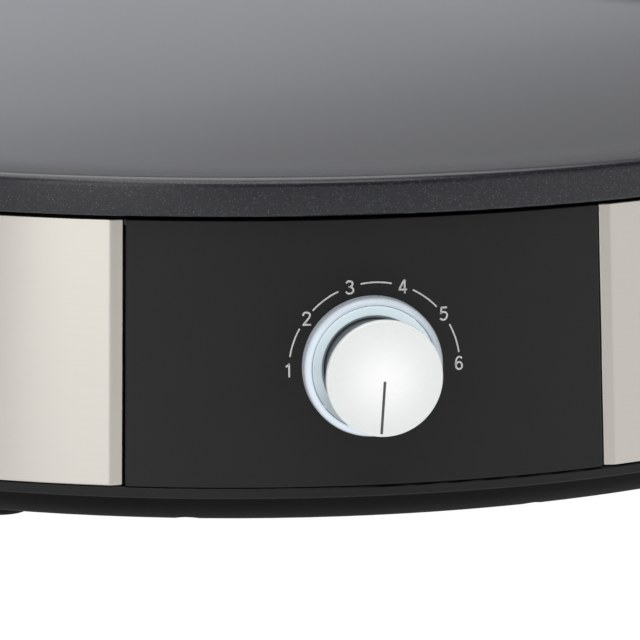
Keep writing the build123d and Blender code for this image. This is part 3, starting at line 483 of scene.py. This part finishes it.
# glazed steatite with a few dark specks
ceramicLook = {
    "dark": screen(222, 216, 202),
    "light": screen(238, 234, 224),
    "cloudScale": 140.0,
    "speck": screen(120, 104, 84),
    "speckScale": 900.0,
    "speckEdge": 0.16,        # a speck fades between these, in cells from its middle
    "speckCore": 0.06,
    "speckShare": 0.86,        # cells above this have a speck
    "pitScale": 1600.0,
    "pits": 0.15,
    "pitDepth": 0.00002,
    "smoothest": 0.24,
    "roughest": 0.36,
}


def ceramicWhite():
    look = ceramicLook
    material, tree, shader = newFinish("ceramicWhite")
    where = here(tree)
    distance, pick = cellPattern(tree, where, look["speckScale"])
    speck = times(tree, stretch(tree, distance, look["speckEdge"], look["speckCore"]),
                  maths(tree, "GREATER_THAN", pick[0], look["speckShare"]))
    cloud = noise(tree, where, look["cloudScale"], 4.0, 0.6)
    body = blendColours(tree, cloud, look["dark"], look["light"])
    pits = noise(tree, where, look["pitScale"], 3.0, 0.5)
    setShader(tree, shader, Base_Color=blendColours(tree, speck, body, look["speck"]),
              Roughness=spread(tree, pits, look["smoothest"], look["roughest"]),
              Normal=bump(tree, pits, look["pits"], look["pitDepth"]))
    return material


# solder mask with copper tracks showing faintly through it
boardLook = {
    "mask": screen(22, 84, 52),
    "track": screen(54, 122, 78),
    "trackScale": 260.0,
    "trackWidth": 0.08,
    "trackShow": 0.6,
    "weaveScale": 2200.0,
    "weave": 0.1,
    "weaveDepth": 0.00002,
    "smoothest": 0.24,
    "roughest": 0.32,
}


def boardGreen():
    look = boardLook
    material, tree, shader = newFinish("boardGreen")
    where = here(tree)
    inputs = {"Vector": where, "Scale": look["trackScale"], "Mortar Size": look["trackWidth"]}
    tracks = addNode(tree, "TexBrick", inputs).outputs["Fac"]
    show = stretch(tree, tracks, 0.0, 1.0, 0.0, look["trackShow"])
    weave = noise(tree, where, look["weaveScale"], 2.0, 0.5)
    setShader(tree, shader, Base_Color=blendColours(tree, show, look["mask"], look["track"]),
              Roughness=spread(tree, weave, look["smoothest"], look["roughest"]),
              Normal=bump(tree, weave, look["weave"], look["weaveDepth"]))
    return material


# clear lens over a glowing chip
lampLook = {
    "dark": screen(236, 238, 240),
    "light": screen(250, 250, 246),
    "cloudScale": 1500.0,
    "smoothest": 0.15,
    "roughest": 0.22,
    "glow": 0.8,
}


def lampWhite():
    look = lampLook
    material, tree, shader = newFinish("lampWhite")
    cloud = noise(tree, here(tree), look["cloudScale"], 3.0, 0.5)
    colour = blendColours(tree, cloud, look["dark"], look["light"])
    setShader(tree, shader, Base_Color=colour,
              Roughness=spread(tree, cloud, look["smoothest"], look["roughest"]),
              Emission_Color=colour, Emission_Strength=look["glow"])
    return material


# green and yellow insulation, in two stripes along the wire
earthLook = {
    "green": screen(44, 112, 46),
    "yellow": screen(214, 190, 40),
    "windUp": 1400.0,        # how fast the stripes change going up, and going across, per metre
    "windAcross": 500.0,
    "stripeEdge": 0.1,
    "grainScale": 1800.0,
    "grain": 0.15,
    "grainDepth": 0.00002,
    "smoothest": 0.42,
    "roughest": 0.55,
}


def earthLead():
    look = earthLook
    material, tree, shader = newFinish("earthLead")
    where = here(tree)
    side = axes(tree, where)
    wind = maths(tree, "ADD", times(tree, side[2], look["windUp"]), times(tree, side[0], look["windAcross"]))
    stripe = stretch(tree, maths(tree, "SINE", wind), -look["stripeEdge"], look["stripeEdge"])
    grain = noise(tree, where, look["grainScale"], 3.0, 0.5)
    setShader(tree, shader, Base_Color=blendColours(tree, stripe, look["green"], look["yellow"]),
              Roughness=spread(tree, grain, look["smoothest"], look["roughest"]),
              Normal=bump(tree, grain, look["grain"], look["grainDepth"]))
    return material


# the slots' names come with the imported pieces
finishes = {
    "plate_coating": plateCoating(),
    "brushed_steel": brushedSteel(),
    "black_plastic": mouldedPlastic("panelBlack", panelBlack),
    "foot_rubber": mouldedPlastic("footRubber", footRubber),
    "ring_glow": ringGlow(),
    "bezel_white": bezelWhite(),
    "cap_white": capWhite(),
    "knob_grey": mouldedPlastic("knobGrey", knobGrey),
    "pointer_dark": mouldedPlastic("pointerDark", pointerDark),
    "zinc_steel": bareMetal("zincSteel", zincSteel),
    "spring_steel": bareMetal("springSteel", springSteel),
    "element_steel": bareMetal("elementSteel", elementSteel),
    "aluminised": aluminisedSheet(),
    "ceramic_white": ceramicWhite(),
    "brass": bareMetal("brassBare", brass),
    "copper": bareMetal("copperBare", copper),
    "board_green": boardGreen(),
    "lamp_white": lampWhite(),
    "thermostat_plastic": mouldedPlastic("thermostatCream", thermostatCream),
    "lead_brown": mouldedPlastic("leadBrown", leadBrown),
    "lead_blue": mouldedPlastic("leadBlue", leadBlue),
    "lead_earth": earthLead(),
    "gland_nylon": mouldedPlastic("glandNylon", glandNylon),
}
for node in nodes.values():
    for place in node.material_slots:
        place.material = finishes[place.material.name]
nodes["base_pan"].material_slots[0].material = basePanBlack()
print("stage: finishes on", len(finishes), "material slots")


# griddle plate, with its top, rounded edge and rim wall turned again in far finer steps
griddleShape = {
    "radius": 0.17498,
    "top": 0.082,
    "rounding": 0.002,
    "roundSteps": 8,
    "wallFrom": 0.0741,        # the wall begins here, above its own small lower rounding
    "flatBorder": 0.002,        # width of the flat ring round the top
    "sides": 720,
    "smoothBelow": 30.0,        # edges flatter than this many degrees are shaded smooth
    "mergeWithin": 0.000001,        # corners of the loose triangles closer than this become one
    "near": 0.0001,        # how far a face's middle may be from the surface that it belongs to
    "nearWall": 0.00015,
}


def turnOn(reach, height, newReach, newHeight):        # one more step of the skin, from the ring selected
    bpy.ops.mesh.extrude_edges_move(TRANSFORM_OT_translate={"value": (0.0, 0.0, newHeight - height)})
    size = newReach / reach
    bpy.ops.transform.resize(value=(size, size, 1.0), center_override=(0.0, 0.0, newHeight))


def griddleSkin():
    shape = griddleShape
    bpy.ops.object.select_all(action="DESELECT")
    bpy.ops.mesh.primitive_circle_add(vertices=shape["sides"], radius=shape["radius"], fill_type="NOTHING",
                                      location=(0.0, 0.0, shape["wallFrom"]))
    skin = bpy.context.active_object
    bpy.ops.object.transform_apply(location=True, rotation=False, scale=False)
    bpy.ops.object.mode_set(mode="EDIT")
    bpy.ops.mesh.select_all(action="SELECT")
    reach, height = shape["radius"], shape["wallFrom"]
    for step in range(shape["roundSteps"] + 1):
        angle = math.pi / 2 * step / shape["roundSteps"]
        newReach = shape["radius"] - shape["rounding"] * (1 - math.cos(angle))
        newHeight = shape["top"] - shape["rounding"] * (1 - math.sin(angle))
        turnOn(reach, height, newReach, newHeight)
        reach, height = newReach, newHeight
    turnOn(reach, height, reach - shape["flatBorder"], height)
    bpy.ops.mesh.edge_face_add()
    bpy.ops.mesh.select_all(action="SELECT")
    bpy.ops.mesh.normals_make_consistent(inside=False)
    bpy.ops.object.mode_set(mode="OBJECT")
    bpy.ops.object.shade_smooth_by_angle(angle=math.radians(shape["smoothBelow"]))
    skin.data.materials.append(finishes["plate_coating"])
    return skin


def castWithoutSkin():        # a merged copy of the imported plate, open where the finer skin goes
    shape = griddleShape
    cast = nodes["griddle_plate"]
    griddle = bpy.data.objects.new("griddle", cast.data.copy())
    griddle.matrix_world = cast.matrix_world
    bpy.context.scene.collection.objects.link(griddle)
    bpy.ops.object.select_all(action="DESELECT")
    griddle.select_set(True)
    bpy.context.view_layer.objects.active = griddle
    bpy.ops.object.transform_apply(location=True, rotation=True, scale=True)
    bpy.ops.object.mode_set(mode="EDIT")
    bpy.ops.mesh.select_all(action="SELECT")
    bpy.ops.mesh.remove_doubles(threshold=shape["mergeWithin"])
    bpy.ops.mesh.select_mode(type="FACE")
    bpy.ops.mesh.select_all(action="DESELECT")
    bpy.ops.object.mode_set(mode="OBJECT")
    edgeReach = shape["radius"] - shape["rounding"] - shape["near"]
    edgeHeight = shape["top"] - shape["rounding"] - shape["near"]
    for face in griddle.data.polygons:
        reach, height = math.hypot(face.center.x, face.center.y), face.center.z
        onWall = reach > shape["radius"] - shape["nearWall"] and height > shape["wallFrom"] + shape["near"]
        onEdge = reach > edgeReach and height > edgeHeight
        face.select = onWall or onEdge or height > shape["top"] - shape["near"]
    bpy.ops.object.mode_set(mode="EDIT")
    bpy.ops.mesh.delete(type="FACE")
    bpy.ops.mesh.select_mode(type="VERT")
    bpy.ops.object.mode_set(mode="OBJECT")
    return griddle


def fineGriddle():
    skin = griddleSkin()
    griddle = castWithoutSkin()
    skin.select_set(True)
    bpy.ops.object.join()
    bpy.ops.object.mode_set(mode="EDIT")
    bpy.ops.mesh.select_mode(type="EDGE")
    bpy.ops.mesh.select_all(action="DESELECT")
    bpy.ops.mesh.select_non_manifold()        # the two open rims that meet low on the wall
    bpy.ops.mesh.mark_sharp()
    bpy.ops.mesh.bridge_edge_loops()
    bpy.ops.mesh.select_mode(type="VERT")
    bpy.ops.object.mode_set(mode="OBJECT")
    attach(griddle, "housing")
    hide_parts("griddle_plate")


fineGriddle()
print("stage: griddle turned")


# scale printed on the panel round the knob
scaleLook = {
    "centre": (0.00066, 0.0384),        # across, up
    "digitPlaces": {        # angle from 12 o'clock, distance from the centre
        "1": (-89.5, 0.01928),
        "2": (-52.7, 0.01928),
        "3": (-17.1, 0.01928),
        "4": (19.1, 0.01928),
        "5": (53.3, 0.0196),
        "6": (88.8, 0.01922),
    },
    "digitHeight": 0.0031,
    "digitWidth": 1.12,        # times the drawn width
    "digitMiddle": (0.27, 0.5),        # of the box that a digit is drawn in
    "digitStroke": 0.00042,
    "arcRadius": 0.01941,
    "arcSpans": [(-80.5, -60.8), (-46.2, -25.1), (-9.6, 11.5), (26.4, 46.7), (61.4, 81.5)],
    "arcSteps": 6,
    "arcStroke": 0.00036,
    "mergeWithin": 0.000005,
    "start": 0.22,        # how far in front of the knob's axis the print is drawn before it is laid on
    "inkDepth": 0.00003,
    "ink": screen(206, 206, 203),
    "inkThin": screen(192, 192, 190),
    "dotScale": 3000.0,        # printing screen, dots per metre
    "dots": 0.1,
    "dotDepth": 0.00001,
    "smoothest": 0.45,
    "roughest": 0.6,
}

# each digit as pen strokes in a box one unit high; a stroke is straight or smooth
digitStrokes = {
    "1": [("straight", [(0.04, 0.76), (0.29, 0.955)]), ("straight", [(0.25, 1.0), (0.25, 0.0)])],
    "2": [("smooth", [(0.04, 0.72), (0.10, 0.89), (0.27, 0.945), (0.45, 0.86), (0.47, 0.68), (0.33, 0.44),
                      (0.07, 0.08)]), ("straight", [(0.0, 0.06), (0.55, 0.06)])],
    "3": [("smooth", [(0.05, 0.80), (0.14, 0.92), (0.28, 0.945), (0.44, 0.85), (0.43, 0.65), (0.30, 0.555),
                      (0.20, 0.54)]),
          ("smooth", [(0.22, 0.54), (0.36, 0.51), (0.49, 0.39), (0.48, 0.18), (0.32, 0.065), (0.14, 0.08),
                      (0.03, 0.21)])],
    "4": [("straight", [(0.38, 0.97), (0.03, 0.28)]), ("straight", [(0.0, 0.28), (0.56, 0.28)]),
          ("straight", [(0.41, 1.0), (0.41, 0.0)])],
    "5": [("straight", [(0.50, 0.94), (0.10, 0.94)]), ("straight", [(0.135, 0.98), (0.08, 0.47)]),
          ("smooth", [(0.07, 0.49), (0.18, 0.60), (0.33, 0.605), (0.47, 0.50), (0.49, 0.28), (0.38, 0.10),
                      (0.20, 0.055), (0.03, 0.15)])],
    "6": [("smooth", [(0.46, 0.82), (0.37, 0.925), (0.25, 0.94), (0.12, 0.82), (0.065, 0.55), (0.08, 0.24),
                      (0.18, 0.09), (0.30, 0.06), (0.44, 0.15), (0.47, 0.33), (0.40, 0.51), (0.26, 0.57),
                      (0.12, 0.48), (0.07, 0.36)])],
}


def penStroke(points, width, smooth):        # a flat ribbon that follows the points, across and up
    line = bpy.data.curves.new("stroke", "CURVE")
    line.dimensions = "3D"
    line.extrude = width / 2
    line.resolution_u = 5 if smooth else 1
    spline = line.splines.new("BEZIER")
    spline.bezier_points.add(len(points) - 1)
    for bend, (across, up) in zip(spline.bezier_points, points):
        bend.co = (across, up, 0.0)
        bend.tilt = math.radians(90)
        bend.handle_left_type = "AUTO" if smooth else "VECTOR"
        bend.handle_right_type = "AUTO" if smooth else "VECTOR"
    stroke = bpy.data.objects.new("stroke", line)
    bpy.context.scene.collection.objects.link(stroke)
    return stroke


def onDial(angle, radius):
    turn = math.radians(angle)
    centreAcross, centreUp = scaleLook["centre"]
    return (centreAcross + radius * math.sin(turn), centreUp + radius * math.cos(turn))


def digitRibbons(digit):
    look = scaleLook
    middle = onDial(*look["digitPlaces"][digit])
    height = look["digitHeight"]
    width = height * look["digitWidth"]
    ribbons = []
    for kind, points in digitStrokes[digit]:
        placed = [(middle[0] + (across - look["digitMiddle"][0]) * width,
                   middle[1] + (up - look["digitMiddle"][1]) * height) for across, up in points]
        ribbons.append(penStroke(placed, look["digitStroke"], kind == "smooth"))
    return ribbons


def arcRibbon(first, last):
    steps = scaleLook["arcSteps"]
    angles = [first + (last - first) * step / steps for step in range(steps + 1)]
    placed = [onDial(angle, scaleLook["arcRadius"]) for angle in angles]
    return penStroke(placed, scaleLook["arcStroke"], True)


def drawScale():        # all ribbons as one flat mesh, standing up in front of the panel
    ribbons = [ribbon for digit in scaleLook["digitPlaces"] for ribbon in digitRibbons(digit)]
    ribbons += [arcRibbon(first, last) for first, last in scaleLook["arcSpans"]]
    bpy.ops.object.select_all(action="DESELECT")
    for ribbon in ribbons:
        ribbon.select_set(True)
    bpy.context.view_layer.objects.active = ribbons[0]
    bpy.ops.object.convert(target="MESH")
    bpy.ops.object.join()
    scale = bpy.context.view_layer.objects.active
    scale.name = "dial_scale"
    scale.rotation_euler = (math.radians(90), 0.0, 0.0)
    scale.location = (0.0, -scaleLook["start"], 0.0)
    bpy.ops.object.transform_apply(location=True, rotation=True, scale=True)
    bpy.ops.object.mode_set(mode="EDIT")
    bpy.ops.mesh.select_all(action="SELECT")
    bpy.ops.mesh.remove_doubles(threshold=scaleLook["mergeWithin"])
    bpy.ops.mesh.normals_make_consistent(inside=False)
    bpy.ops.object.mode_set(mode="OBJECT")
    return scale


def layOnPanel(scale):        # the print is pushed straight back on to the panel, then given its thickness
    lay = scale.modifiers.new("lay", "SHRINKWRAP")
    lay.target = nodes["front_panel"]
    lay.wrap_method = "PROJECT"
    lay.use_project_y = True
    lay.use_positive_direction = True
    lay.use_negative_direction = False
    bpy.ops.object.modifier_apply(modifier="lay")
    ink = scale.modifiers.new("ink", "SOLIDIFY")
    ink.thickness = scaleLook["inkDepth"]
    ink.offset = 0.0
    bpy.ops.object.modifier_apply(modifier="ink")


def scaleInk():
    look = scaleLook
    material, tree, shader = newFinish("scaleInk")
    dots = noise(tree, here(tree), look["dotScale"], 3.0, 0.6)
    setShader(tree, shader, Base_Color=blendColours(tree, spread(tree, dots), look["inkThin"], look["ink"]),
              Roughness=spread(tree, dots, look["smoothest"], look["roughest"]),
              Normal=bump(tree, dots, look["dots"], look["dotDepth"]))
    return material


dialScale = drawScale()
layOnPanel(dialScale)
dialScale.data.materials.clear()
dialScale.data.materials.append(scaleInk())
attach(dialScale, "housing")
print("stage: scale printed on the panel")


# white floor that glows a little, so that it stays white under the drum
floorLook = {
    "size": 14.0,
    "height": -0.0002,
    "paper": screen(80, 80, 80),
    "paperShade": screen(76, 76, 76),
    "fibreScale": 90.0,
    "rough": 0.9,
    "gloss": 0.1,
    "glow": 1.0,
}


def studioFloor():
    look = floorLook
    bpy.ops.object.select_all(action="DESELECT")
    bpy.ops.mesh.primitive_plane_add(size=look["size"], location=(0.0, 0.0, look["height"]))
    floor = bpy.context.active_object
    floor.name = "floor"
    material, tree, shader = newFinish("paleFloor")
    fibres = noise(tree, here(tree), look["fibreScale"], 3.0, 0.5)
    setShader(tree, shader, Base_Color=blendColours(tree, fibres, look["paperShade"], look["paper"]),
              Roughness=look["rough"], Specular_IOR_Level=look["gloss"],
              Emission_Color=(1.0, 1.0, 1.0, 1.0), Emission_Strength=look["glow"])
    floor.data.materials.append(material)


# large diffusers aimed at the drum: place, width and height, watts, and a roll in degrees if they hang askew
softBoxes = {
    "leftBox": {"place": (-1.49, -2.29, 0.9), "size": (1.25, 1.9), "power": 15.8},
    "rightBox": {"place": (2.1, -1.75, 0.6), "size": (2.4, 1.9), "power": 9.5},
    "frontBox": {"place": (-0.2, -1.5, 2.3), "size": (2.0, 1.2), "power": 27.0},
    "topBox": {"place": (-0.4, 0.7, 2.2), "size": (3.0, 2.6), "power": 70.0},
    "backBox": {"place": (-0.45, 2.8, 0.34), "size": (3.5, 0.7), "power": 4.3, "roll": 8.3,
                "colour": (0.9, 0.92, 1.0)},
}
aimedAt = (0.0, 0.0, 0.05)
roomGlow = 0.23        # white walls all round


def hangSoftBoxes():
    for name, box in softBoxes.items():
        bpy.ops.object.light_add(type="AREA", location=box["place"])
        lamp = bpy.context.active_object
        lamp.name = name
        lamp.data.shape = "RECTANGLE"
        lamp.data.size = box["size"][0]
        lamp.data.size_y = box["size"][1]
        lamp.data.energy = box["power"]
        lamp.data.color = box.get("colour", (1.0, 1.0, 1.0))
        facing = (Vector(aimedAt) - Vector(box["place"])).to_track_quat("-Z", "Y")
        roll = Quaternion((0.0, 0.0, 1.0), math.radians(box.get("roll", 0.0)))
        lamp.rotation_euler = (facing @ roll).to_euler()
        lamp.visible_camera = False


def paintRoom():
    room = bpy.data.worlds.new("room")
    room.use_nodes = True
    walls = room.node_tree.nodes["Background"].inputs
    walls["Color"].default_value = (1.0, 1.0, 1.0, 1.0)
    walls["Strength"].default_value = roomGlow
    bpy.context.scene.world = room


cameraLook = {
    "place": (-0.21538, -1.26382, 0.26846),
    "tiltDown": 0.1945,        # radians below level
    "turnRight": 0.18447,        # radians from straight ahead
    "lens": 286.875,
    "sensor": 36.0,
    "seesAsFar": 60.0,
}


def placeCamera():
    look = cameraLook
    turned = (math.pi / 2 - look["tiltDown"], 0.0, -look["turnRight"])
    bpy.ops.object.camera_add(location=look["place"], rotation=turned)
    camera = bpy.context.active_object
    camera.data.lens = look["lens"]
    camera.data.sensor_width = look["sensor"]
    camera.data.clip_end = look["seesAsFar"]
    bpy.context.scene.camera = camera
    bpy.context.scene.view_settings.view_transform = "Standard"


studioFloor()
hangSoftBoxes()
paintRoom()
placeCamera()
print("stage: studio and camera ready")
